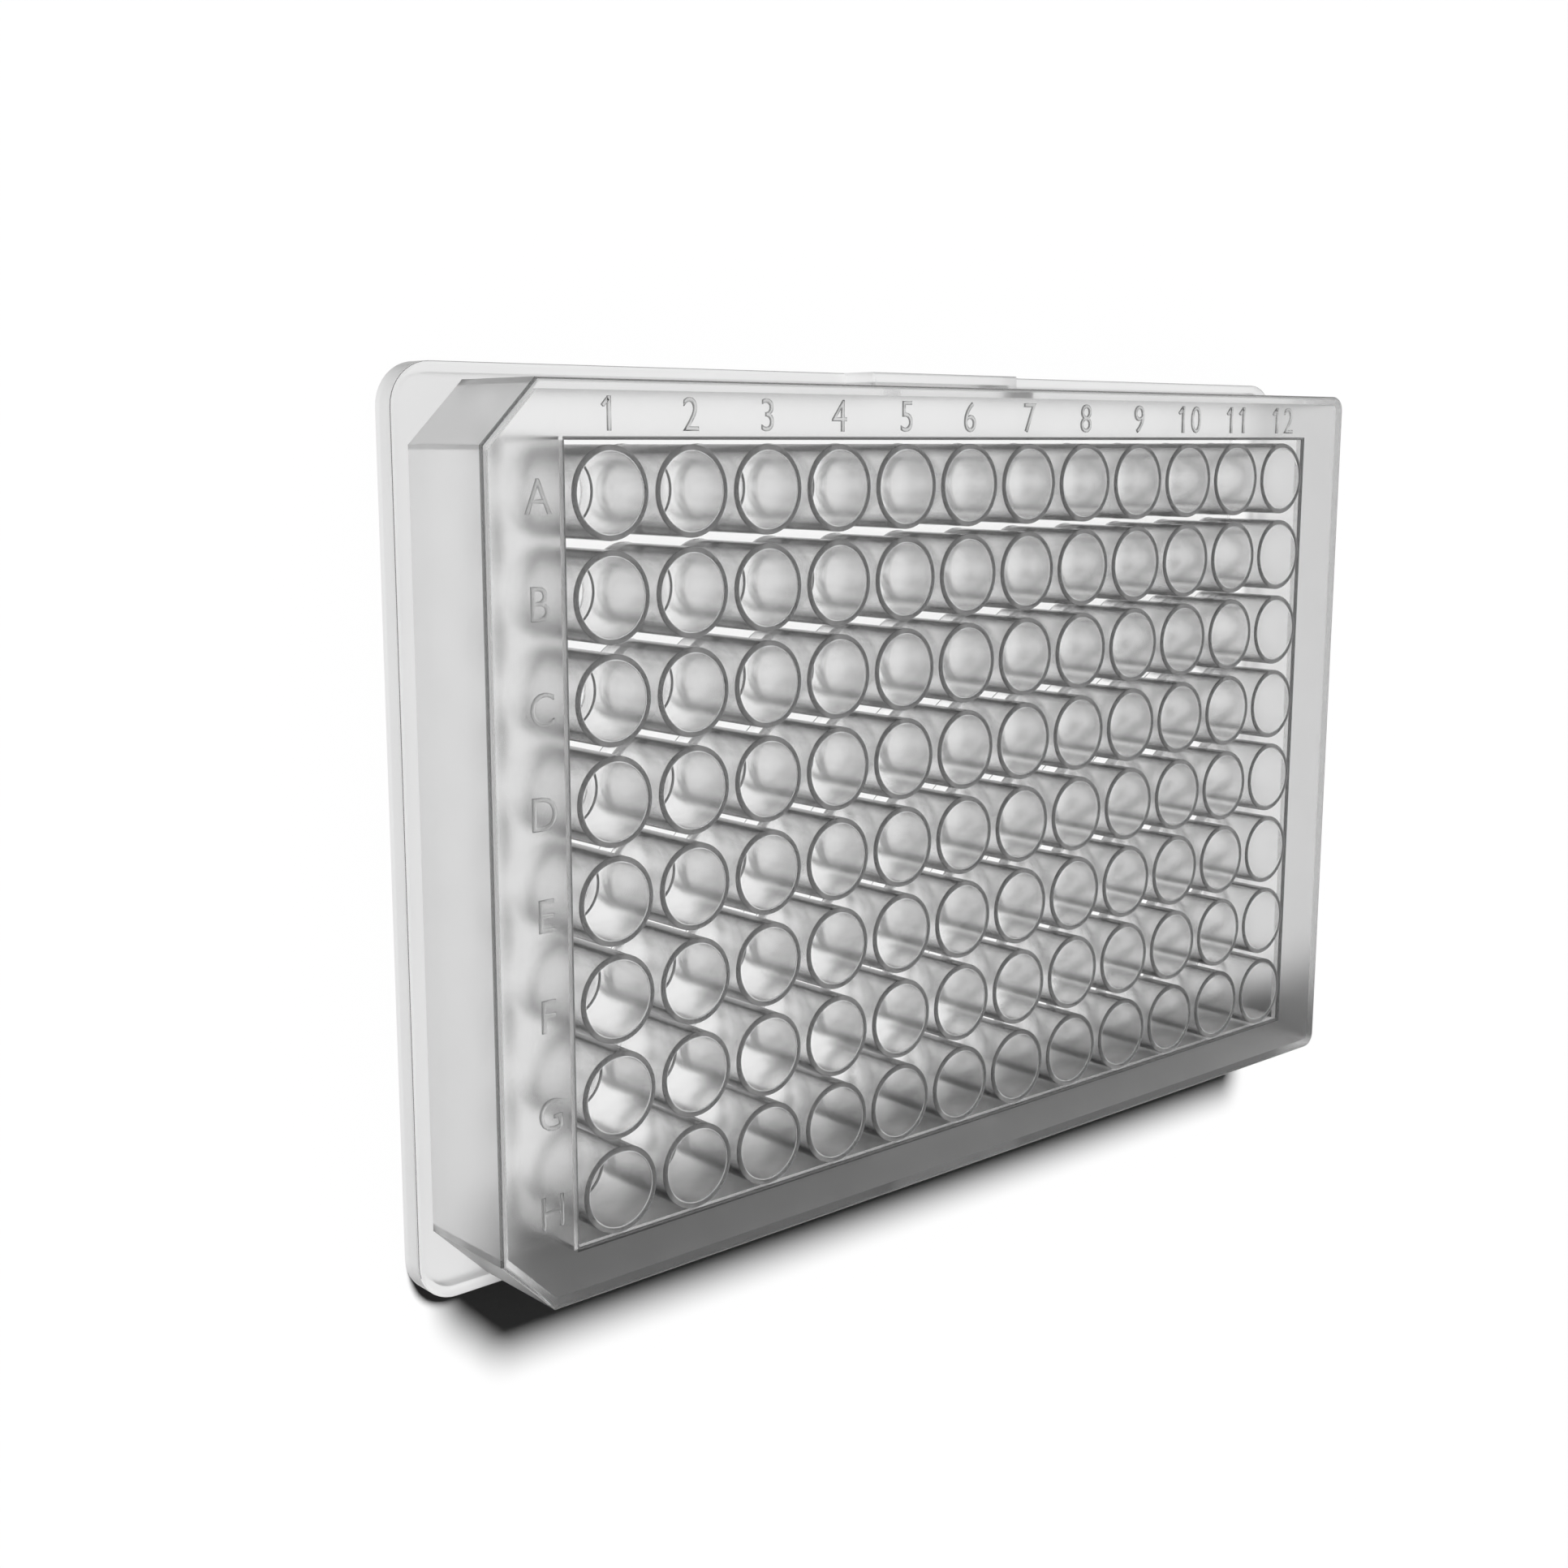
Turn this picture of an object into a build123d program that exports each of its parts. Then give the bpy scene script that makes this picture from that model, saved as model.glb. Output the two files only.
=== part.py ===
"""A 96-well plate: one injection-moulded shell with free-standing wells in a recessed field.

Units are millimetres. The plate lies on its flange on the plane z = 0. Its origin is the middle of
the footprint, +X runs along the twelve columns, +Y towards row A, and +Z out of the wells.
"""

from build123d import *
import math
import os

# Footprint, and the height of the well rims above the bench
plate_length = 127.76
plate_width = 85.48
rim_height = 14.3

# Skirt wall and deck frame
skirt_inset = 1.55  # from the flange's outer face to the skirt's outer face
skirt_wall = 0.95
rim_stand = 0.25  # how far the well rims stand above the deck
deck_thickness = 1.0
deck_edge_radius = 0.5
index_corner_leg = 5.6  # the two corners beside column 1 are cut at 45 degrees
plain_corner_radius = 1.7

# Flange around the foot, and the raised tab in the middle of each long side
flange_height = 2.6
flange_ledge = 1.0  # thickness of the step between the flange and the skirt
flange_corner_radius = 4.0
flange_edge_radius = 0.35
stacking_clearance = 0.6  # between the inside of the flange and the deck of the plate below
tab_length = 21.6
tab_height = 6.8
tab_edge_radius = 0.3

# Well field
columns = 12
rows = 8
pitch = 9.0
field_margin = 4.5  # from the centres of the outer wells to the wall of the recess
field_depth = 10.35  # from the well rims down to the floor between the wells
field_wall = 0.9
field_edge_radius = 0.4
floor_thickness = 1.4

# One well
tube_gap = 0.76  # between the tubes of neighbouring wells
tube_wall = 0.62
well_bottom_slope = 45.0  # of the V bottom, in degrees
tip_wall = 0.75  # plastic left under the tip of each V

# Sizes that follow from the values above
deck_height = rim_height - rim_stand
skirt_length = plate_length - 2 * skirt_inset
skirt_width = plate_width - 2 * skirt_inset
flange_wall = skirt_inset - stacking_clearance
field_length = (columns - 1) * pitch + 2 * field_margin
field_width = (rows - 1) * pitch + 2 * field_margin
floor_top = rim_height - field_depth
floor_bottom = floor_top - floor_thickness
tube_radius = (pitch - tube_gap) / 2
well_radius = tube_radius - tube_wall
well_tip_height = floor_bottom + tip_wall
well_bottom_rise = well_radius * math.tan(math.radians(well_bottom_slope))
shoulder_height = well_tip_height + well_bottom_rise  # where the round wall turns into the V
overshoot = 1.0  # how far a cutting shape runs past the surface that it opens


# The skirt seen from above: a rectangle with two cut corners and two round ones
with BuildSketch() as skirt_outline:
    Rectangle(skirt_length, skirt_width)
    index_corners = skirt_outline.vertices().group_by(Axis.X)[0]
    chamfer(index_corners, length=index_corner_leg)
    plain_corners = skirt_outline.vertices().group_by(Axis.X)[-1]
    fillet(plain_corners, radius=plain_corner_radius)


# The two tabs as one bar across the plate; the hollow underside takes its middle away
with BuildPart() as tab_bar:
    with BuildSketch():
        Rectangle(tab_length, plate_width)
    extrude(amount=tab_height)
    tab_rims = tab_bar.faces().sort_by(Axis.Z)[-1].edges().filter_by(Axis.X)
    fillet(tab_rims, radius=tab_edge_radius)


# The space inside one well, from its V tip to just above its rim
with BuildPart() as well_space:
    with BuildSketch(Plane.XZ):
        with BuildLine():
            Polyline(
                (0, well_tip_height),
                (well_radius, shoulder_height),
                (well_radius, rim_height + overshoot),
                (0, rim_height + overshoot),
                close=True,
            )
        make_face()
    revolve(axis=Axis.Z)


with BuildPart() as plate:
    # Flange: a low block with round corners and an eased top edge
    with BuildSketch():
        RectangleRounded(plate_length, plate_width, flange_corner_radius)
    extrude(amount=flange_height)
    flange_top = plate.faces().sort_by(Axis.Z)[-1]
    fillet(flange_top.edges(), radius=flange_edge_radius)

    # Skirt and deck
    add(extrude(skirt_outline.sketch, amount=deck_height, mode=Mode.PRIVATE))
    deck = plate.faces().sort_by(Axis.Z)[-1]
    fillet(deck.edges(), radius=deck_edge_radius)

    # Tabs: in the middle of each long side the skirt steps out to the flange's outer face
    add(tab_bar.part)

    # Hollow underside: inside the flange, inside the skirt, and inside the two tabs
    with BuildSketch():
        RectangleRounded(
            plate_length - 2 * flange_wall,
            plate_width - 2 * flange_wall,
            flange_corner_radius - flange_wall,
        )
    extrude(amount=flange_height - flange_ledge, mode=Mode.SUBTRACT)
    with BuildSketch():
        add(skirt_outline.sketch)
        offset(amount=-skirt_wall, kind=Kind.INTERSECTION, mode=Mode.REPLACE)
    extrude(amount=deck_height - deck_thickness, mode=Mode.SUBTRACT)
    with BuildSketch():
        Rectangle(tab_length - 2 * flange_wall, plate_width - 2 * flange_wall)
    extrude(amount=tab_height - flange_ledge, mode=Mode.SUBTRACT)

    # Well field: a tray that hangs from the deck
    with BuildSketch(Plane.XY.offset(floor_bottom)):
        Rectangle(field_length + 2 * field_wall, field_width + 2 * field_wall)
    extrude(amount=deck_height - floor_bottom)
    with BuildSketch(Plane.XY.offset(floor_top)):
        Rectangle(field_length, field_width)
    extrude(amount=deck_height - floor_top + overshoot, mode=Mode.SUBTRACT)
    field_edges = plate.faces().filter_by(Plane.XY).sort_by(Axis.Z)[-1].inner_wires()[0].edges()
    fillet(field_edges, radius=field_edge_radius)

    # Wells: tubes that stand on the floor, each with its own cavity
    with BuildSketch(Plane.XY.offset(floor_top)):
        with GridLocations(pitch, pitch, columns, rows):
            Circle(tube_radius)
    extrude(amount=field_depth)
    with GridLocations(pitch, pitch, columns, rows):
        add(well_space.part, mode=Mode.SUBTRACT)


plate.part.label = "well_plate"
os.makedirs("parts", exist_ok=True)
export_step(plate.part, "parts/well_plate.step")
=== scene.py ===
"""A translucent 96-well plate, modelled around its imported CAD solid.

The plate lies on its flange. Lengths are metres in the part's own frame: +X runs along the twelve
columns, +Y towards row A and +Z out of the wells, and the origin is the middle of the footprint.
"""

import logging
import math
from dataclasses import dataclass, field
from enum import Enum

import bmesh
import bpy
from mathutils import Matrix, Vector


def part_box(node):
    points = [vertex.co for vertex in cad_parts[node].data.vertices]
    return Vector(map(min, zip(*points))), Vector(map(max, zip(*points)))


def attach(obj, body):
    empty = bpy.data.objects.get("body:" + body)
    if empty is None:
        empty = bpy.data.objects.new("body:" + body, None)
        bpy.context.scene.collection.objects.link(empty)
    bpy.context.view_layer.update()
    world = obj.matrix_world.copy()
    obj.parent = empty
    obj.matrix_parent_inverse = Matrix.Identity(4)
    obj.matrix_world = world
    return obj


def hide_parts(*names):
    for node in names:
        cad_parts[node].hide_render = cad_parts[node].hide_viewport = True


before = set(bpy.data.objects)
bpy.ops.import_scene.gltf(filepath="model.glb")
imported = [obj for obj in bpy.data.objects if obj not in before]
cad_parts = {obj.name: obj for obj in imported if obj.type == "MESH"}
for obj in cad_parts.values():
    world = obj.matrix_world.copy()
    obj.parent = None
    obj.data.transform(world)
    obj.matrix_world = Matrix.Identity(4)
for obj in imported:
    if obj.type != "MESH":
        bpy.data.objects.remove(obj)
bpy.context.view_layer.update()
NODE = "well_plate"
LOG = logging.getLogger("well_plate")

MM = 0.001
MERGE = 1e-6  # vertices closer together than this are one
LEVEL = 0.99  # a face lies level where its normal's Z is past this
EASE_SEGMENTS = 5  # across a rounded edge
RIM_STAND = 0.25 * MM  # how far the tubes' rims stand above the deck
WALLS_CROSSED = 24  # how many faces of clear plastic light may cross
REFLECTIONS = 12  # how often it may be reflected

# What a node's input is given: a value, or a socket to link
Feed = float | tuple[float, ...] | bpy.types.NodeSocket


class Corner(Enum):
    """How the corners of an outline are finished."""

    SHARP = "sharp"
    ROUND = "round"
    KEYED = "keyed"


class Change(Enum):
    """What a prism does to the shell."""

    ADD = "UNION"
    TAKE_AWAY = "DIFFERENCE"


class Surface(Enum):
    """The finish of each surface of the moulded plate, by material index; EDGE and
    PAINTED_SHADE_RIM are painted shade.
    """

    POLISHED = 0
    # its silhouettes are painted dark as shade
    TUBE = 1
    FROSTED = 2
    SATIN = 3
    # partly painted shade: a rougher, darker copy whose edge-on parts are painted dark
    SKIRT = 4
    # painted shade: dark lines on the rounded edges
    EDGE = 5
    # painted shade: dark rims, rings at the wells' shoulders and the recess's lip
    PAINTED_SHADE_RIM = 6


@dataclass(frozen=True)
class Outline:
    """A rectangle seen from above, centred on the origin.

    KEYED corners are cut at 45 degrees on the column 1 side and rounded on the other.
    """

    length: float
    width: float
    corner: Corner = Corner.SHARP
    radius: float = 0.0
    cut: float = 0.0
    segments: int = 10

    def face(self, bm: bmesh.types.BMesh, height: float) -> bmesh.types.BMFace:
        """Adds the outline to an empty mesh as one level face.

        Args:
            bm: The mesh to add to.
            height: The face's height.

        Returns:
            The new face.
        """
        verts = bmesh.ops.create_grid(bm, x_segments=1, y_segments=1, size=0.5)["verts"]
        bmesh.ops.scale(bm, vec=(self.length, self.width, 1.0), verts=verts)
        bmesh.ops.translate(bm, vec=(0.0, 0.0, height), verts=verts)
        if self.corner is Corner.ROUND:
            self.shape_corners(bm, verts, self.radius, self.segments)
        elif self.corner is Corner.KEYED:
            key_side = [v for v in verts if v.co.x < 0]
            plain_side = [v for v in verts if v.co.x > 0]
            self.shape_corners(bm, key_side, self.cut, 1)
            self.shape_corners(bm, plain_side, self.radius, self.segments)
        bm.faces.ensure_lookup_table()
        return bm.faces[0]

    @staticmethod
    def shape_corners(
        bm: bmesh.types.BMesh, verts: list[bmesh.types.BMVert], size: float, segments: int
    ) -> None:
        """Cuts or rounds corners of a flat face.

        Args:
            bm: The mesh that holds the face.
            verts: The corners.
            size: How far back along its two edges each corner is taken.
            segments: 1 for a straight cut, more for a round.
        """
        bmesh.ops.bevel(
            bm, geom=verts, offset=size, offset_type="OFFSET", segments=segments, profile=0.5,
            affect="VERTICES", material=-1,
        )


@dataclass(frozen=True)
class Prism:
    """An outline carried straight up from one height to another."""

    name: str
    outline: Outline
    low: float
    high: float
    ease: float = 0.0

    def build(self) -> bpy.types.Object:
        """Models the prism as a closed shell, with its top edge rounded by ease.

        Returns:
            A linked object.
        """
        bm = bmesh.new()
        floor = self.outline.face(bm, self.low)
        made = bmesh.ops.extrude_face_region(bm, geom=[floor], use_keep_orig=True)["geom"]
        risen = [g for g in made if isinstance(g, bmesh.types.BMVert)]
        bmesh.ops.translate(bm, vec=(0.0, 0.0, self.high - self.low), verts=risen)
        bmesh.ops.recalc_face_normals(bm, faces=bm.faces)
        if self.ease:
            rim = [e for e in bm.edges if all(v in risen for v in e.verts)]
            bmesh.ops.bevel(
                bm, geom=rim, offset=self.ease, offset_type="OFFSET", segments=EASE_SEGMENTS,
                profile=0.5, affect="EDGES", material=-1,
            )
        return new_object(self.name, bm)


@dataclass(frozen=True)
class Shell:
    """The plate without its wells: flange, skirt, deck, stacking tabs and the tray's blank."""

    length: float
    width: float
    deck_height: float
    skirt_inset: float = 1.55 * MM
    skirt_wall: float = 0.95 * MM
    deck_thickness: float = 1.0 * MM
    deck_edge: float = 0.4 * MM
    index_corner: float = 5.6 * MM
    plain_corner: float = 1.7 * MM
    plain_corner_segments: int = 8
    least_corner: float = 0.3 * MM  # inside the skirt
    flange_height: float = 2.6 * MM
    flange_ledge: float = 1.0 * MM
    flange_corner: float = 4.0 * MM
    flange_edge: float = 0.35 * MM
    flange_wall: float = 0.95 * MM
    tab_length: float = 21.6 * MM
    tab_height: float = 6.8 * MM
    tab_edge: float = 0.3 * MM
    tray_wall: float = 0.3 * MM
    tray_bottom: float = 2.55 * MM
    tray_reach: float = 5.0 * MM  # the tray is further than this inside the footprint
    upright: float = 0.5  # a face stands upright where its normal's Z is under this
    row_h_side: float = -0.3  # and looks to row H's side where its Y is under this
    # The parts of the rounded edges that are painted dark as shade, as their normals' Z
    flange_band: tuple[float, float] = (0.3, 0.6)
    deck_band: tuple[float, float] = (0.1, 0.85)

    def build(self, field_length: float, field_width: float) -> bpy.types.Object:
        """Joins the outer prisms and cuts the hollow underside out of them.

        Args:
            field_length: The well field's size along X.
            field_width: The well field's size along Y.

        Returns:
            The shell, with a solid block where the wells go.
        """
        footprint = Outline(self.length, self.width, Corner.ROUND, self.flange_corner)
        shell = Prism("shell", footprint, 0.0, self.flange_height, self.flange_edge).build()
        self.apply(shell, self.additions(), Change.ADD)
        self.apply(shell, self.hollows(), Change.TAKE_AWAY)
        # The blank ends in the middle of the deck, so that the two become one
        tray = Outline(field_length + 2 * self.tray_wall, field_width + 2 * self.tray_wall)
        top = self.deck_height - self.deck_thickness / 2
        self.apply(shell, [Prism("tray", tray, self.tray_bottom, top)], Change.ADD)
        return shell

    def surface(self, face: bpy.types.MeshPolygon) -> Surface:
        """Names the finish of a face of the shell.

        Args:
            face: The face.

        Returns:
            EDGE, painted shade, in the bands of the deck's and the flange's rounded edges, but
            SATIN where they look to row H's side, SATIN on the deck, POLISHED on the tray's walls
            and SKIRT, whose edge-on parts are painted dark, elsewhere.
        """
        height, slope = face.center.z, face.normal.z
        on_flange = 0.0 < self.flange_height - height < self.flange_edge
        on_deck = height > self.deck_height - self.deck_edge
        in_flange_band = on_flange and self.flange_band[0] < slope < self.flange_band[1]
        in_deck_band = on_deck and self.deck_band[0] < slope < self.deck_band[1]
        # Painted shade: the rounded edges are drawn dark, but not on the side towards row H
        if in_flange_band or in_deck_band:
            return Surface.EDGE if face.normal.y > self.row_h_side else Surface.SATIN
        if height > self.deck_height - self.deck_thickness - MERGE and abs(slope) > LEVEL:
            return Surface.SATIN
        gap = min(self.length / 2 - abs(face.center.x), self.width / 2 - abs(face.center.y))
        on_tray = abs(slope) < self.upright and gap > self.tray_reach
        return Surface.POLISHED if on_tray else Surface.SKIRT

    def skirt_outline(self, inwards: float) -> Outline:
        """Draws the keyed outline of the skirt.

        Args:
            inwards: How far inside the skirt's outer face.

        Returns:
            The outline.
        """
        inset = self.skirt_inset + inwards
        # The leg of a 45 degree cut gets this much shorter as all the sides move inwards
        shorter = inwards * (2 - math.sqrt(2))
        return Outline(
            self.length - 2 * inset, self.width - 2 * inset, Corner.KEYED,
            radius=max(self.plain_corner - inwards, self.least_corner),
            cut=self.index_corner - shorter,
            segments=self.plain_corner_segments,
        )

    def additions(self) -> list[Prism]:
        """Lists what is added to the flange.

        Returns:
            The skirt with its deck, and the bar whose ends are the two tabs.
        """
        bar = Outline(self.tab_length, self.width)
        return [
            Prism("skirt", self.skirt_outline(0.0), 0.0, self.deck_height, self.deck_edge),
            Prism("tabs", bar, 0.0, self.tab_height, self.tab_edge),
        ]

    def hollows(self) -> list[Prism]:
        """Lists what is taken out from below.

        Returns:
            The pockets inside the flange, inside the skirt and inside the tabs.
        """
        wall = 2 * self.flange_wall
        corner = self.flange_corner - self.flange_wall
        pocket = Outline(self.length - wall, self.width - wall, Corner.ROUND, corner)
        tab = Outline(self.tab_length - wall, self.width - wall)
        below = -1.0 * MM
        under_deck = self.deck_height - self.deck_thickness
        return [
            Prism("flange_pocket", pocket, below, self.flange_height - self.flange_ledge),
            Prism("skirt_hollow", self.skirt_outline(self.skirt_wall), below, under_deck),
            Prism("tab_hollow", tab, below, self.tab_height - self.flange_ledge),
        ]

    @staticmethod
    def apply(target: bpy.types.Object, prisms: list[Prism], change: Change) -> None:
        """Joins prisms to an object, or cuts them out of it, and keeps the result as its mesh.

        Args:
            target: The object to change.
            prisms: The prisms, used one after another.
            change: What they do to it.
        """
        tools = [p.build() for p in prisms]
        for tool in tools:
            step = target.modifiers.new(tool.name, "BOOLEAN")
            step.operation, step.solver, step.object = change.value, "EXACT", tool
        graph = bpy.context.evaluated_depsgraph_get()
        mesh = bpy.data.meshes.new_from_object(target.evaluated_get(graph))
        target.modifiers.clear()
        target.data = mesh
        for tool in tools:
            bpy.data.objects.remove(tool)


@dataclass(frozen=True)
class Cell:
    """One square of the well field: a turned form and the sheet that it stands in.

    The profile runs from the sheet to the axis, as radius and height. Each eased point is its
    number in the profile, the ease's size and how many segments it has.
    """

    profile: tuple[tuple[float, float], ...]
    pitch: float
    eased: tuple[tuple[int, float, int], ...]
    segments: int = 48

    def build(self) -> bmesh.types.BMesh:
        """Models the cell around the origin.

        Returns:
            A mesh whose open edge is the square.
        """
        bm = bmesh.new()
        chain = [bm.verts.new((radius, 0.0, height)) for radius, height in self.profile]
        links = [bm.edges.new(pair) for pair in zip(chain, chain[1:])]
        bmesh.ops.spin(
            bm, geom=chain + links, cent=(0.0, 0.0, 0.0), axis=(0.0, 0.0, 1.0),
            angle=2 * math.pi, steps=self.segments, use_merge=True,
        )
        bmesh.ops.remove_doubles(bm, verts=bm.verts, dist=MERGE)
        rings = [(self.ring(bm, number), size, segments) for number, size, segments in self.eased]
        self.spread_sheet(bm)
        for ring, size, segments in rings:
            bmesh.ops.bevel(
                bm, geom=[e for e in ring if e.is_valid], offset=size, offset_type="OFFSET",
                segments=segments, profile=0.5, affect="EDGES", material=-1,
            )
        return bm

    def ring(self, bm: bmesh.types.BMesh, number: int) -> list[bmesh.types.BMEdge]:
        """Finds the circle of edges that one point of the profile was turned into.

        Args:
            bm: The turned form.
            number: The point's number in the profile.

        Returns:
            The circle's edges.
        """
        radius, height = self.profile[number]

        def on_ring(vert: bmesh.types.BMVert) -> bool:
            """True for a vertex on the circle."""
            return abs(vert.co.xy.length - radius) < MERGE and abs(vert.co.z - height) < MERGE

        return [e for e in bm.edges if all(on_ring(v) for v in e.verts)]

    def spread_sheet(self, bm: bmesh.types.BMesh) -> None:
        """Carries the open foot of the turned form out to the square.

        Each vertex moves straight out to a side, and one lands on every corner.

        Args:
            bm: The turned form.
        """
        foot = [e for e in bm.edges if e.is_boundary]
        made = bmesh.ops.extrude_edge_only(bm, edges=foot)["geom"]
        half, quarter = self.pitch / 2, math.pi / 2
        for vert in (g for g in made if isinstance(g, bmesh.types.BMVert)):
            turn = math.atan2(vert.co.y, vert.co.x)
            side = round(turn / quarter)
            along = half * (turn - side * quarter) / (quarter / 2)
            vert.co.xy = Matrix.Rotation(side * quarter, 2) @ Vector((half, along))


@dataclass(frozen=True)
class WellField:
    """The wells, the floor between them and the walls of the recess that they stand in.

    A V ends in a blunt tip: tip_flank and tip_depth are how far the tip comes in and down, as
    parts of its radius.
    """

    rim_height: float
    deck_height: float
    columns: int = 12
    rows: int = 8
    pitch: float = 9.0 * MM
    depth: float = 10.35 * MM
    underside: float = 2.55 * MM
    outer_radius: float = 4.12 * MM
    mouth_radius: float = 3.52 * MM
    shoulder_radius: float = 3.46 * MM
    shoulder_depth: float = 7.5 * MM
    tip_radius: float = 0.45 * MM
    tip_flank: float = 0.4
    tip_depth: float = 0.45
    cone_wall: float = 0.8 * MM
    rim_ease: float = 0.1 * MM
    shoulder_ease: float = 0.15 * MM
    foot_ease: float = 0.22 * MM
    edge_ease: float = 0.3 * MM

    @property
    def length(self) -> float:
        """The field's size along the rows of wells."""
        return self.columns * self.pitch

    @property
    def width(self) -> float:
        """The field's size along the columns of wells."""
        return self.rows * self.pitch

    @property
    def floor(self) -> float:
        """The height of the floor between the wells."""
        return self.rim_height - self.depth

    @property
    def shoulder(self) -> float:
        """The height at which a well's round wall turns into its V."""
        return self.rim_height - self.shoulder_depth

    @property
    def first_well(self) -> Vector:
        """The middle of well A1."""
        return Vector((-(self.length - self.pitch) / 2, (self.width - self.pitch) / 2, 0.0))

    def upper(self) -> bmesh.types.BMesh:
        """Models the top side: floor, tubes, wells and the recess's walls.

        Returns:
            The top side, open at deck height.
        """
        cone_foot = self.shoulder - (self.shoulder_radius - self.tip_radius)
        flank = self.tip_radius * self.tip_flank
        cell = Cell(
            (
                (self.outer_radius, self.floor),
                (self.outer_radius, self.rim_height),
                (self.mouth_radius, self.rim_height),
                (self.shoulder_radius, self.shoulder),
                (self.tip_radius, cone_foot),
                (flank, cone_foot - flank),
                (0.0, cone_foot - self.tip_radius * self.tip_depth),
            ),
            self.pitch,
            (
                (0, self.foot_ease, 2), (1, self.rim_ease, 2), (2, self.rim_ease, 2),
                (3, self.shoulder_ease, 1),
            ),
        )
        bm = self.repeated(cell)
        for face in bm.faces:
            face.material_index = self.surface(face).value
        self.raise_walls(bm)
        return bm

    def surface(self, face: bmesh.types.BMFace) -> Surface:
        """Names the finish of a face on the top side of the field.

        Args:
            face: A face of the floor, a tube or a well.

        Returns:
            TUBE outside a tube, PAINTED_SHADE_RIM, painted dark as shade, on a tube's end and its
            outer ease and on the ring at the shoulder, FROSTED on a well's round wall and the ease
            at its mouth,
            POLISHED on the floor and in the V.
        """
        # The rows and columns are even in number, so wells stand half a pitch off the axes
        middle = face.calc_center_median()
        reach = [(middle[k] / self.pitch) % 1.0 - 0.5 for k in range(2)]
        radius = math.hypot(*reach) * self.pitch
        mouth = self.mouth_radius + self.rim_ease
        # Painted shade: the rims and the ring at the shoulder are drawn dark
        on_rim = middle.z > self.rim_height - 2 * self.rim_ease and radius > mouth
        if on_rim or self.on_shoulder(radius, middle.z):
            return Surface.PAINTED_SHADE_RIM
        if radius < mouth:
            return Surface.FROSTED if middle.z > self.shoulder else Surface.POLISHED
        return Surface.TUBE if radius < self.outer_radius + MERGE else Surface.POLISHED

    def on_shoulder(self, radius: float, height: float) -> bool:
        """True on the eased ring where a well's round wall turns into its V."""
        away, above = radius - self.shoulder_radius, height - self.shoulder
        return abs(away) < self.shoulder_ease and abs(above) < self.shoulder_ease

    def lower(self) -> bmesh.types.BMesh:
        """Models the underside: a sheet with a ring-shaped core hole round each well's V.

        Returns:
            The underside, open along its outer edge.
        """
        # Below the V the plastic would come to a point at the apex, with its wall even
        apex = self.shoulder - self.shoulder_radius - self.cone_wall * math.sqrt(2)
        bore = self.shoulder_radius
        nose = max(self.underside - apex, self.tip_radius)
        cell = Cell(
            (
                (bore, self.underside),
                (bore, apex + bore - self.foot_ease),
                (bore - self.foot_ease, apex + bore - self.foot_ease),
                (nose, apex + nose),
                (0.0, apex + nose),
            ),
            self.pitch,
            ((0, self.foot_ease, 1),),
        )
        return self.repeated(cell)

    def repeated(self, cell: Cell) -> bmesh.types.BMesh:
        """Lays a cell out over the whole field and joins the copies.

        Args:
            cell: The cell at well A1, before it is moved there.

        Returns:
            The joined field.
        """
        bm = cell.build()
        self.repeat(bm, Vector((self.pitch, 0.0, 0.0)), self.columns)
        self.repeat(bm, Vector((0.0, -self.pitch, 0.0)), self.rows)
        bmesh.ops.translate(bm, vec=self.first_well, verts=bm.verts)
        bmesh.ops.remove_doubles(bm, verts=bm.verts, dist=MERGE)
        return bm

    @staticmethod
    def repeat(bm: bmesh.types.BMesh, step: Vector, count: int) -> None:
        """Copies all of a mesh along a line.

        Args:
            bm: The mesh to repeat.
            step: The move from one copy to the next.
            count: How many copies there are in the end, the first among them.
        """
        first = list(bm.verts) + list(bm.edges) + list(bm.faces)
        for number in range(1, count):
            made = bmesh.ops.duplicate(bm, geom=first)["geom"]
            verts = [g for g in made if isinstance(g, bmesh.types.BMVert)]
            bmesh.ops.translate(bm, vec=step * number, verts=verts)

    def raise_walls(self, bm: bmesh.types.BMesh) -> None:
        """Raises the recess's walls from the floor's edge, and rounds them over at the deck.

        Args:
            bm: The top side, without its walls.
        """
        half = Vector((self.length / 2, self.width / 2))
        loop = [e for e in bm.edges if e.is_boundary]
        rise = self.deck_height - self.edge_ease - self.floor
        loop = self.lift(bm, loop, rise, (1.0, 1.0), Surface.POLISHED)
        out, up = 0.0, 0.0
        for step in range(1, EASE_SEGMENTS + 1):
            turn = math.radians(90.0 * step / EASE_SEGMENTS)
            next_out = self.edge_ease * (1 - math.cos(turn))
            next_up = self.edge_ease * math.sin(turn)
            grow = ((half.x + next_out) / (half.x + out), (half.y + next_out) / (half.y + out))
            # The rounded lip takes the rim's painted shade
            loop = self.lift(bm, loop, next_up - up, grow, Surface.PAINTED_SHADE_RIM)
            out, up = next_out, next_up

    @staticmethod
    def lift(
        bm: bmesh.types.BMesh, loop: list[bmesh.types.BMEdge], height: float,
        grow: tuple[float, float], surface: Surface,
    ) -> list[bmesh.types.BMEdge]:
        """Extrudes an open edge up and outwards.

        Args:
            bm: The mesh.
            loop: The open edge.
            height: How far it goes up.
            grow: How much it grows along X and Y.
            surface: The new faces' finish.

        Returns:
            The new open edge.
        """
        made = bmesh.ops.extrude_edge_only(bm, edges=loop)["geom"]
        for face in (g for g in made if isinstance(g, bmesh.types.BMFace)):
            face.material_index = surface.value
        verts = [g for g in made if isinstance(g, bmesh.types.BMVert)]
        bmesh.ops.translate(bm, vec=(0.0, 0.0, height), verts=verts)
        bmesh.ops.scale(bm, vec=(*grow, 1.0), verts=verts)
        edges = [g for g in made if isinstance(g, bmesh.types.BMEdge)]
        return [e for e in edges if all(v in verts for v in e.verts) and e.is_boundary]


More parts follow.
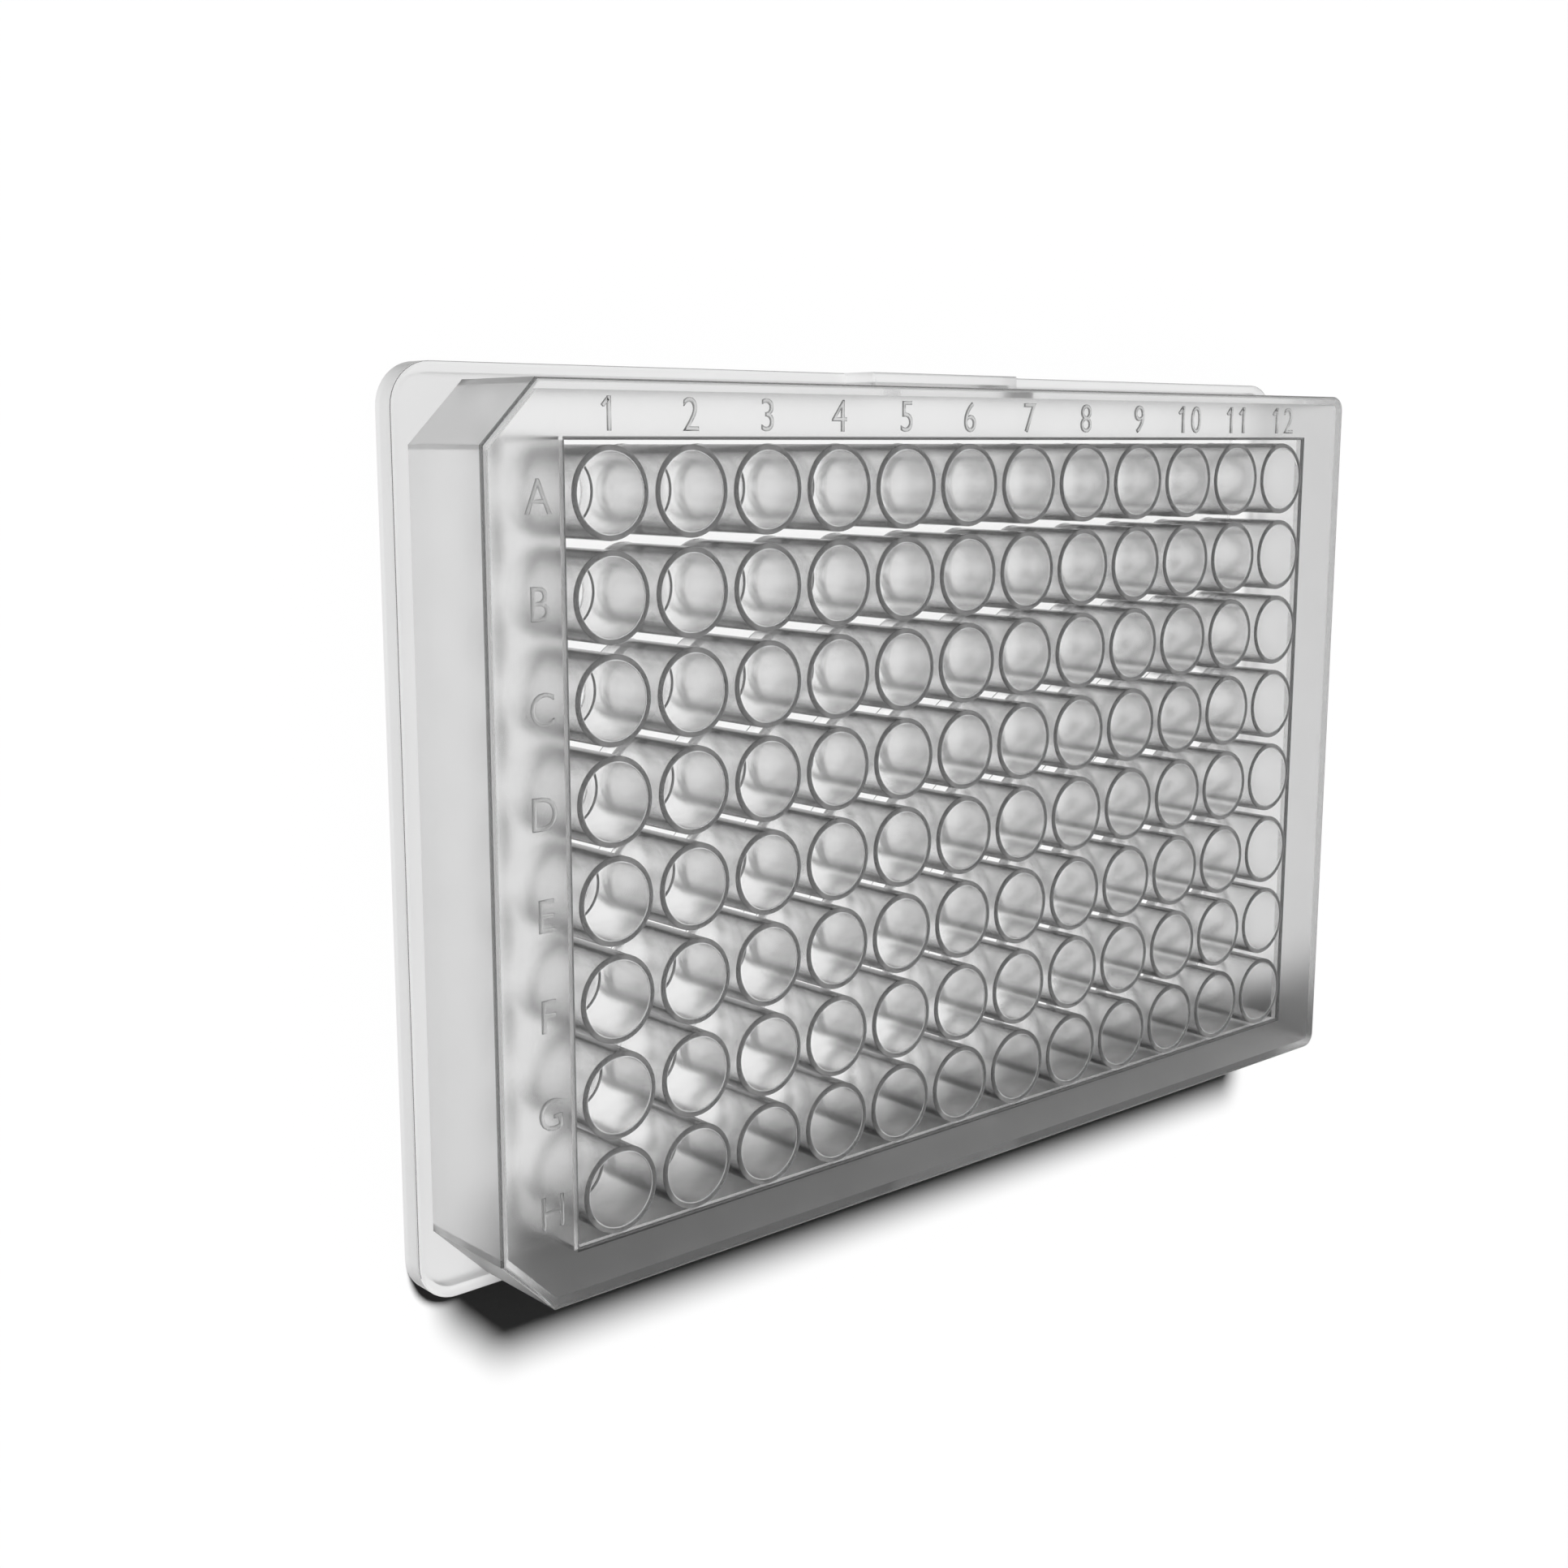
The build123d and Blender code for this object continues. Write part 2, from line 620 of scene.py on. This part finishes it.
@dataclass(frozen=True)
class Wiring:
    """Adds nodes to the tree of a material or of the world, and links them."""

    tree: bpy.types.NodeTree

    def feed(self, node: bpy.types.Node, inputs: dict[int | str, Feed]) -> None:
        """Gives a node what it works on.

        Args:
            node: The node.
            inputs: A value, or a socket to link, for each of its inputs by name or number.
        """
        for key, value in inputs.items():
            if isinstance(value, bpy.types.NodeSocket):
                self.tree.links.new(value, node.inputs[key])
            else:
                node.inputs[key].default_value = value

    def add(
        self, kind: str, inputs: dict[int | str, Feed] | None = None
    ) -> bpy.types.NodeOutputs:
        """Adds a node.

        Args:
            kind: Its type.
            inputs: What it works on, if anything.

        Returns:
            Its outputs.
        """
        node = self.tree.nodes.new(kind)
        self.feed(node, inputs or {})
        return node.outputs

    def calculate(self, operation: str, *values: Feed) -> bpy.types.NodeSocket:
        """Works out a value.

        Args:
            operation: The math node's operation.
            values: What it works on.

        Returns:
            The result's socket.
        """
        node = self.tree.nodes.new("ShaderNodeMath")
        node.operation = operation
        self.feed(node, dict(enumerate(values)))
        return node.outputs["Value"]

    def ramp(
        self, value: bpy.types.NodeSocket, span: tuple[float, float] = (0.0, 1.0),
        to: tuple[float, float] = (0.0, 1.0), smooth: bool = False,
    ) -> bpy.types.NodeSocket:
        """Maps one range of values onto another.

        Args:
            value: The value.
            span: The range that it is read over.
            to: What the two ends of that range become.
            smooth: True for a soft start and end.

        Returns:
            The result's socket.
        """
        node = self.tree.nodes.new("ShaderNodeMapRange")
        node.interpolation_type = "SMOOTHSTEP" if smooth else "LINEAR"
        ends = {"From Min": span[0], "From Max": span[1], "To Min": to[0], "To Max": to[1]}
        self.feed(node, {"Value": value, **ends})
        return node.outputs["Result"]

    def mix(self, factor: bpy.types.NodeSocket, first: Feed, second: Feed) -> bpy.types.NodeSocket:
        """Mixes two colours.

        Args:
            factor: 0 for the first, 1 for the second.
            first: The first colour.
            second: The second colour.

        Returns:
            The mixed colour's socket.
        """
        node = self.tree.nodes.new("ShaderNodeMix")
        node.data_type = "RGBA"
        self.feed(node, {"Factor": factor, "A": first, "B": second})
        return node.outputs["Result"]

    def choose(
        self, factor: bpy.types.NodeSocket, first: bpy.types.NodeSocket,
        second: bpy.types.NodeSocket, output: str,
    ) -> None:
        """Ends the tree in the first shader where the factor is 0, else in the second."""
        mixed = self.add("ShaderNodeMixShader", {"Fac": factor, 1: first, 2: second})
        self.feed(self.tree.nodes[output], {"Surface": mixed["Shader"]})

    def through(self, rays: bpy.types.NodeOutputs) -> bpy.types.NodeSocket:
        """1 for light seen through the plastic or in its gloss, from a Light Path's outputs."""
        return self.calculate("MAXIMUM", rays["Is Glossy Ray"], rays["Is Transmission Ray"])


def grey(tone: float) -> tuple[float, float, float, float]:
    """A colour without a hue, from 0 for black to 1 for white."""
    return (tone, tone, tone, 1.0)


@dataclass(frozen=True)
class TranslucentPlastic:
    """Natural, slightly frosted plastic that lets a softened picture through.

    Its tint and frost drift a little over each wall, and its surface has the faint ripple of a
    moulding. Where it is seen edge-on, between edge_start and edge_end, its colour turns to a
    painted edge shade, which stands in for the dark edges of clear walls.
    """

    name: str
    roughness: float
    tint: float
    # painted shade: the colour where the wall is seen edge-on
    painted_edge_shade: float
    edge_start: float = 0.42
    edge_end: float = 0.8
    haze: float = 0.99
    ior: float = 1.49
    drift: float = 0.12
    drift_size: float = 6.0 * MM
    ripple_size: float = 0.8 * MM
    ripple_depth: float = 0.1 * MM
    ripple: float = 0.02

    def build(self) -> bpy.types.Material:
        """Makes the material, or hands back the one that this finish has made before.

        Returns:
            The material.
        """
        if self.name in bpy.data.materials:
            return bpy.data.materials[self.name]
        material = bpy.data.materials.new(self.name)
        material.use_nodes = True
        wiring = Wiring(material.node_tree)
        cloud = self.noise(wiring, self.drift_size)
        frost = (self.roughness * (1 - self.drift), self.roughness * (1 + self.drift))
        # Painted shade: the colour darkens where the wall is seen edge-on
        slant = wiring.add("ShaderNodeLayerWeight")["Facing"]
        body = wiring.mix(cloud, grey(self.tint), grey(self.tint * self.haze))
        edge = wiring.ramp(slant, (self.edge_start, self.edge_end))
        bump = {
            "Strength": self.ripple,
            "Distance": self.ripple_depth,
            "Height": self.noise(wiring, self.ripple_size),
        }
        wiring.feed(material.node_tree.nodes["Principled BSDF"], {
            "Transmission Weight": 1.0,
            "IOR": self.ior,
            "Roughness": wiring.ramp(cloud, to=frost),
            "Base Color": wiring.mix(edge, body, grey(self.painted_edge_shade)),
            "Normal": wiring.add("ShaderNodeBump", bump)["Normal"],
        })
        return material

    @staticmethod
    def noise(wiring: Wiring, size: float) -> bpy.types.NodeSocket:
        """A cloudy pattern from 0 to 1, fixed to the piece, with clouds of about this size."""
        place = wiring.add("ShaderNodeTexCoord")["Object"]
        return wiring.add("ShaderNodeTexNoise", {"Scale": 1.0 / size, "Vector": place})["Fac"]


@dataclass(frozen=True)
class PaleFloor:
    """A matt white floor with the shadow that falls on it.

    Light reaches the floor below a clear plate, so the plastic sees the floor as an even sheet of
    light, with a painted shadow: a dark band where row H's side would stand in its own shadow.
    The band lies round shadow_middle in Y, and starts past shadow_start in X.
    """

    name: str = "pale_floor"
    shade: float = 0.8
    roughness: float = 0.9
    gloss: float = 0.1
    sheet: float = 1.0
    shadow: float = 0.05
    shadow_middle: float = -46.0 * MM
    shadow_reach: float = 9.0 * MM
    shadow_start: float = -54.0 * MM
    fade: float = 9.0 * MM

    def build(self) -> bpy.types.Material:
        """Makes the material.

        Returns:
            The material.
        """
        material = bpy.data.materials.new(self.name)
        material.use_nodes = True
        wiring = Wiring(material.node_tree)
        matt = material.node_tree.nodes["Principled BSDF"]
        wiring.feed(matt, {
            "Base Color": grey(self.shade),
            "Roughness": self.roughness,
            "Specular IOR Level": self.gloss,
        })
        sheet = wiring.add("ShaderNodeEmission", {"Strength": self.sheet_light(wiring)})["Emission"]
        through = wiring.through(wiring.add("ShaderNodeLightPath"))
        wiring.choose(through, matt.outputs["BSDF"], sheet, "Material Output")
        return material

    def sheet_light(self, wiring: Wiring) -> bpy.types.NodeSocket:
        """The sheet's strength: a painted shadow in the band along row H's side, bright elsewhere.

        Args:
            wiring: The material's nodes.

        Returns:
            The value's socket.
        """
        coordinates = wiring.add("ShaderNodeTexCoord")["Object"]
        place = wiring.add("ShaderNodeSeparateXYZ", {"Vector": coordinates})
        from_middle = wiring.calculate("SUBTRACT", place["Y"], self.shadow_middle)
        away = wiring.calculate("ABSOLUTE", from_middle)
        beside = self.step(wiring, away, self.shadow_reach, self.fade)
        before = self.step(wiring, place["X"], self.shadow_start, -self.fade)
        clear = wiring.calculate("MAXIMUM", beside, before)
        # Painted shadow: the sheet falls to the shadow level inside the band
        return wiring.ramp(clear, to=(self.shadow, self.sheet))

    @staticmethod
    def step(
        wiring: Wiring, value: bpy.types.NodeSocket, middle: float, width: float
    ) -> bpy.types.NodeSocket:
        """A smooth step from 0 to 1 over a width round a middle; a negative width falls."""
        return wiring.ramp(value, (middle - width / 2, middle + width / 2), smooth=True)


@dataclass
class WellPlate:
    """The moulded plate: its shell and its wells as one closed piece."""

    shell: Shell
    wells: WellField
    finishes_and_shades: dict[Surface, TranslucentPlastic]
    crease: float = math.radians(32.0)
    lid_area: float = 200 * MM**2  # the shell's flat faces over this make room for the wells
    flatness: float = 0.01 * MM  # how level they are

    def build(self) -> bpy.types.Object:
        """Models the plate.

        Returns:
            The finished piece.
        """
        bm = self.field_sides()
        blank = self.shell.build(self.wells.length, self.wells.width)
        for face in blank.data.polygons:
            face.material_index = self.shell.surface(face).value
        bm.from_mesh(blank.data)
        bpy.data.objects.remove(blank)
        self.open_sheet(bm, self.wells.deck_height, 1.0)
        self.open_sheet(bm, self.wells.underside, -1.0)
        bmesh.ops.remove_doubles(bm, verts=bm.verts, dist=MERGE)
        bmesh.ops.recalc_face_normals(bm, faces=bm.faces)
        self.mark_creases(bm)
        return new_object("moulded_plate", bm)

    def field_sides(self) -> bmesh.types.BMesh:
        """Models both sides of the well field.

        Returns:
            The top side and the underside in one mesh, not yet joined to each other.
        """
        bm = self.wells.upper()
        lower = self.wells.lower()
        keeper = bpy.data.meshes.new("lower")
        lower.to_mesh(keeper)
        lower.free()
        bm.from_mesh(keeper)
        bpy.data.meshes.remove(keeper)
        return bm

    def open_sheet(self, bm: bmesh.types.BMesh, level: float, up: float) -> None:
        """Swaps the shell's flat face at one height for a frame round the well field.

        Args:
            bm: The mesh, with the field's open edge at that height.
            level: The height.
            up: 1 where the face looks up, -1 where it looks down.
        """
        def at_level(item: bmesh.types.BMEdge | bmesh.types.BMFace) -> bool:
            """True where every corner is at the level."""
            return all(abs(v.co.z - level) < self.flatness for v in item.verts)

        def is_lid(face: bmesh.types.BMFace) -> bool:
            """True for a large level face that looks the right way."""
            flat = at_level(face) and face.normal.z * up > LEVEL
            return flat and face.calc_area() > self.lid_area

        mouth = [e for e in bm.edges if e.is_boundary and at_level(e)]
        field_faces = {f for e in mouth for f in e.link_faces}
        lid = [f for f in bm.faces if is_lid(f) and f not in field_faces]
        bmesh.ops.delete(bm, geom=lid, context="FACES_ONLY")
        rims = [e for e in bm.edges if e.is_boundary and at_level(e)]
        made = bmesh.ops.triangle_fill(
            bm, use_beauty=True, use_dissolve=False, edges=rims, normal=(0.0, 0.0, up)
        )
        for face in (g for g in made["geom"] if isinstance(g, bmesh.types.BMFace)):
            face.material_index = Surface.SATIN.value

    def mark_creases(self, bm: bmesh.types.BMesh) -> None:
        """Shades every face smooth, and keeps the edges that turn by more than the crease angle.

        Args:
            bm: The finished plate.
        """
        for face in bm.faces:
            face.smooth = True
        for edge in bm.edges:
            edge.smooth = edge.is_manifold and edge.calc_face_angle(0.0) < self.crease

    def dress(self, plate: bpy.types.Object) -> None:
        """Gives the plate its finish and painted shade for each surface, and joins it to the frame.

        Args:
            plate: The plate.
        """
        weights = plate.modifiers.new("even_shading", "WEIGHTED_NORMAL")
        weights.keep_sharp = True
        for surface in Surface:
            plate.data.materials.append(self.finishes_and_shades[surface].build())
        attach(plate, "root")
        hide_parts(NODE)


@dataclass
class IndexCharacters:
    """Raised numbers over the columns and letters beside the rows.

    The font's 1 is a bare upright, so each 1 gets a slanted flag.
    """

    wells: WellField
    top_finish: TranslucentPlastic
    # painted shade: a darker copy for the slanted sides
    side_painted_shade: TranslucentPlastic
    height: float = 2.95 * MM
    relief: float = 0.24 * MM
    sink: float = 0.02 * MM
    narrow: float = 0.93  # how wide the characters are, as a part of the font's width
    slant: float = 0.022  # the chamfer of their strokes, as a part of the font's size
    curve_steps: int = 4
    above_row: float = 6.75 * MM
    beside_column: float = 7.5 * MM
    letter_drop: float = 0.15 * MM
    advance: float = 2.35 * MM
    flag_length: float = 0.8 * MM
    flag_width: float = 0.3 * MM
    flag_gap: float = 0.25 * MM
    flag_slope: float = math.radians(48.0)

    def build(self) -> bpy.types.Object:
        """Models every character as one piece.

        Returns:
            The finished piece.
        """
        bm = bmesh.new()
        first, pitch = self.wells.first_well.xy, self.wells.pitch
        for number in range(self.wells.columns):
            self.add(bm, str(number + 1), first + Vector((number * pitch, self.above_row)))
        for number in range(self.wells.rows):
            place = first + Vector((-self.beside_column, -number * pitch - self.letter_drop))
            self.add(bm, chr(ord("A") + number), place)
        bmesh.ops.remove_doubles(bm, verts=bm.verts, dist=MERGE)
        bmesh.ops.recalc_face_normals(bm, faces=bm.faces)
        return new_object("index_characters", bm)

    def add(self, bm: bmesh.types.BMesh, text: str, place: Vector) -> None:
        """Adds one label to the mesh.

        Args:
            bm: The mesh that collects the labels.
            text: The label.
            place: Its middle on the deck.
        """
        for number, character in enumerate(text):
            along = (number - (len(text) - 1) / 2) * self.advance
            self.raise_character(bm, character, place + Vector((along, 0.0)))
            if character == "1":
                top = Vector((along - self.flag_gap, self.height / 2 - self.flag_width / 2))
                self.raise_flag(bm, place + top)

    def raise_character(self, bm: bmesh.types.BMesh, character: str, place: Vector) -> None:
        """Adds one raised character to the mesh.

        Args:
            bm: The mesh that collects the labels.
            character: The character.
            place: Its middle on the deck.
        """
        curve = bpy.data.curves.new("label", "FONT")
        curve.body, curve.align_x, curve.align_y = character, "CENTER", "CENTER"
        curve.extrude, curve.resolution_u = self.slant, self.curve_steps
        curve.bevel_depth, curve.offset, curve.bevel_resolution = self.slant, -self.slant, 0
        holder = bpy.data.objects.new("label", curve)
        mesh = bpy.data.meshes.new_from_object(holder)
        low = Vector(min(v.co[k] for v in mesh.vertices) for k in range(3))
        high = Vector(max(v.co[k] for v in mesh.vertices) for k in range(3))
        scale = self.height / (high.y - low.y)
        rise = (self.relief + self.sink) / (high.z - low.z)
        middle = (low + high) / 2
        mesh.transform(
            Matrix.Translation((place.x, place.y, self.middle_height))
            @ Matrix.Diagonal((scale * self.narrow, scale, rise, 1.0))
            @ Matrix.Translation((-middle.x, -middle.y, 0.0))
        )
        bm.from_mesh(mesh)
        bpy.data.objects.remove(holder)
        bpy.data.meshes.remove(mesh)

    def raise_flag(self, bm: bmesh.types.BMesh, top: Vector) -> None:
        """Adds the short slanted stroke at the top of a 1.

        Args:
            bm: The mesh that collects the labels.
            top: The corner of its upper end, which it is turned about.
        """
        verts = bmesh.ops.create_cube(bm, size=1.0)["verts"]
        size = (self.flag_length, self.flag_width, self.relief + self.sink)
        bmesh.ops.scale(bm, vec=size, verts=verts)
        bmesh.ops.translate(bm, vec=(-self.flag_length / 2, -self.flag_width / 2, 0.0), verts=verts)
        turn = Matrix.Rotation(self.flag_slope, 3, "Z")
        bmesh.ops.rotate(bm, cent=(0.0, 0.0, 0.0), matrix=turn, verts=verts)
        bmesh.ops.translate(bm, vec=(top.x, top.y, self.middle_height), verts=verts)

    @property
    def middle_height(self) -> float:
        """The height of the middle of the raised strokes."""
        return self.wells.deck_height + (self.relief - self.sink) / 2

    def dress(self, piece: bpy.types.Object) -> None:
        """Gives the level tops their finish, paints shade on the slanted sides with a darker copy,
        and joins them to the frame.

        Args:
            piece: The characters.
        """
        for finish in (self.top_finish, self.side_painted_shade):
            piece.data.materials.append(finish.build())
        for face in piece.data.polygons:
            # Painted shade: the slanted sides take the darker copy
            face.material_index = int(abs(face.normal.z) < LEVEL)
        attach(piece, "root")


@dataclass
class Studio:
    """The floor, the lamps and the camera."""

    eye: Vector = field(default_factory=lambda: Vector((-0.15172, 0.03592, 0.15157)))
    aim: Vector = field(default_factory=lambda: Vector((-0.02962, 0.00382, 0.0143)))
    lens: float = 45.1
    film_width: float = 36.0
    nearest: float = 0.005
    floor_reach: float = 4.0
    room_light: float = 0.55  # of the backdrop overhead
    horizon_light: float = 1.0
    backdrop_top: float = 0.7  # the Z of the direction above which the backdrop is even
    fill_light: float = 0.03
    window_place: Vector = field(default_factory=lambda: Vector((-0.10, 0.38, 0.5)))
    window_light: float = 4.92
    window_angle: float = math.radians(15.0)

    def build(self) -> None:
        """Builds the stage."""
        self.floor()
        self.world()
        self.window()
        self.camera()

    def floor(self) -> None:
        """Lays the floor under the plate."""
        bm = bmesh.new()
        bmesh.ops.create_grid(bm, x_segments=1, y_segments=1, size=self.floor_reach)
        floor = new_object("floor", bm)
        floor.data.materials.append(PaleFloor().build())

    def world(self) -> None:
        """Fills the room with faint even light.

        The camera sees a white backdrop instead, and the plastic one that is dimmer overhead.
        """
        world = bpy.data.worlds.new("studio")
        world.use_nodes = True
        wiring = Wiring(world.node_tree)
        fill = world.node_tree.nodes["Background"]
        wiring.feed(fill, {"Color": grey(1.0), "Strength": self.fill_light})
        direction = wiring.add("ShaderNodeTexCoord")["Generated"]
        height = wiring.add("ShaderNodeSeparateXYZ", {"Vector": direction})["Z"]
        light = (self.horizon_light, self.room_light)
        sky = wiring.ramp(height, (0.0, self.backdrop_top), light, smooth=True)
        rays = wiring.add("ShaderNodeLightPath")
        strength = wiring.calculate("MAXIMUM", sky, rays["Is Camera Ray"])
        backdrop = wiring.add("ShaderNodeBackground", {"Color": grey(1.0), "Strength": strength})
        seen = wiring.calculate("MAXIMUM", wiring.through(rays), rays["Is Camera Ray"])
        wiring.choose(seen, fill.outputs["Background"], backdrop["Background"], "World Output")
        bpy.context.scene.world = world

    def window(self) -> None:
        """Adds the soft light from the row A side, too far off to fade across the floor."""
        light = bpy.data.lights.new("window", "SUN")
        light.angle, light.energy = self.window_angle, self.window_light
        lamp = bpy.data.objects.new("window", light)
        lamp.location = self.window_place
        lamp.rotation_euler = self.window_place.to_track_quat("Z", "Y").to_euler()
        lamp.visible_glossy = lamp.visible_transmission = False
        bpy.context.scene.collection.objects.link(lamp)

    def camera(self) -> None:
        """Points the camera at the plate, with row A towards the top of the picture."""
        back = (self.eye - self.aim).normalized()
        right = Vector((0.0, 1.0, 0.0)).cross(back).normalized()
        up = back.cross(right)
        data = bpy.data.cameras.new("camera")
        data.lens, data.sensor_width, data.clip_start = self.lens, self.film_width, self.nearest
        camera = bpy.data.objects.new("camera", data)
        turn = Matrix((right, up, back)).transposed()
        camera.matrix_world = Matrix.Translation(self.eye) @ turn.to_4x4()
        bpy.context.scene.collection.objects.link(camera)
        bpy.context.scene.camera = camera


def new_object(name: str, bm: bmesh.types.BMesh) -> bpy.types.Object:
    """Turns a bmesh into a linked object at the origin, and frees it.

    Args:
        name: The object's name.
        bm: The finished mesh.

    Returns:
        The new object.
    """
    mesh = bpy.data.meshes.new(name)
    bm.to_mesh(mesh)
    bm.free()
    obj = bpy.data.objects.new(name, mesh)
    bpy.context.scene.collection.objects.link(obj)
    return obj


def let_light_through(cycles: bpy.types.PropertyGroup) -> None:
    """Lets light cross the plate's many clear walls, and keeps its shadow on the floor dark.

    Args:
        cycles: The scene's Cycles settings.
    """
    cycles.max_bounces = cycles.transmission_bounces = WALLS_CROSSED
    cycles.glossy_bounces = REFLECTIONS
    cycles.caustics_refractive = cycles.caustics_reflective = False


def report(piece: bpy.types.Object) -> None:
    """Logs how large a piece is, and how many of its edges are open.

    Args:
        piece: The finished piece.
    """
    bm = bmesh.new()
    bm.from_mesh(piece.data)
    triangles = sum(len(f.verts) - 2 for f in bm.faces)
    open_edges = sum(not e.is_manifold for e in bm.edges)
    bm.free()
    LOG.info("%s: %d triangles, %d open edges", piece.name, triangles, open_edges)


def finishes_and_painted_shades() -> dict[Surface, TranslucentPlastic]:
    """Lists the finish of each surface of the moulded plate: one clear plastic, polished, frosted
    or toned, with near-black copies that paint shade on the rims and rounded edges, and painted
    shade where walls are seen edge-on.

    Returns:
        The finish of each surface.
    """
    return {
        Surface.POLISHED: TranslucentPlastic(
            "polished_plastic", roughness=0.15, tint=1.0, painted_edge_shade=1.0
        ),
        # Painted shade: the tubes' silhouettes turn near black where they are seen edge-on
        Surface.TUBE: TranslucentPlastic(
            "tube_plastic", roughness=0.15, tint=1.0, painted_edge_shade=0.02, edge_start=0.46, edge_end=0.64
        ),
        Surface.FROSTED: TranslucentPlastic(
            "frosted_plastic", roughness=0.25, tint=1.0, painted_edge_shade=1.0
        ),
        Surface.SATIN: TranslucentPlastic(
            "satin_plastic", roughness=0.22, tint=0.89, painted_edge_shade=0.8
        ),
        # Partly painted shade: a darker copy of the plastic whose edge-on parts are painted near
        # black
        Surface.SKIRT: TranslucentPlastic("skirt_plastic", roughness=0.3, tint=0.84, painted_edge_shade=0.1),
        # Painted shade: near black, for the dark lines on rounded edges
        Surface.EDGE: TranslucentPlastic("edge_painted_shade", roughness=0.2, tint=0.1, painted_edge_shade=0.05),
        # Painted shade: near black, for the dark rims and rings
        Surface.PAINTED_SHADE_RIM: TranslucentPlastic("rim_painted_shade", roughness=0.2, tint=0.06, painted_edge_shade=0.06),
    }


def main() -> None:
    """Builds the plate, its characters and the studio."""
    logging.basicConfig(level=logging.INFO, format="%(name)s: %(message)s")
    bpy.context.scene.view_settings.view_transform = "Standard"
    let_light_through(bpy.context.scene.cycles)
    low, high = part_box(NODE)
    deck_height = high.z - RIM_STAND
    finishes_and_shades = finishes_and_painted_shades()
    wells = WellField(high.z, deck_height)
    shell = Shell(high.x - low.x, high.y - low.y, deck_height)
    # Painted shade: a darker copy of the satin plastic for the characters' slanted sides
    side_painted_shade = TranslucentPlastic("character_side_painted_shade", roughness=0.2, tint=0.84, painted_edge_shade=0.7)
    plate = WellPlate(shell, wells, finishes_and_shades)
    characters = IndexCharacters(wells, finishes_and_shades[Surface.SATIN], side_painted_shade)
    for maker in (plate, characters):
        piece = maker.build()
        maker.dress(piece)
        report(piece)
    Studio().build()


if __name__ == "__main__":
    main()
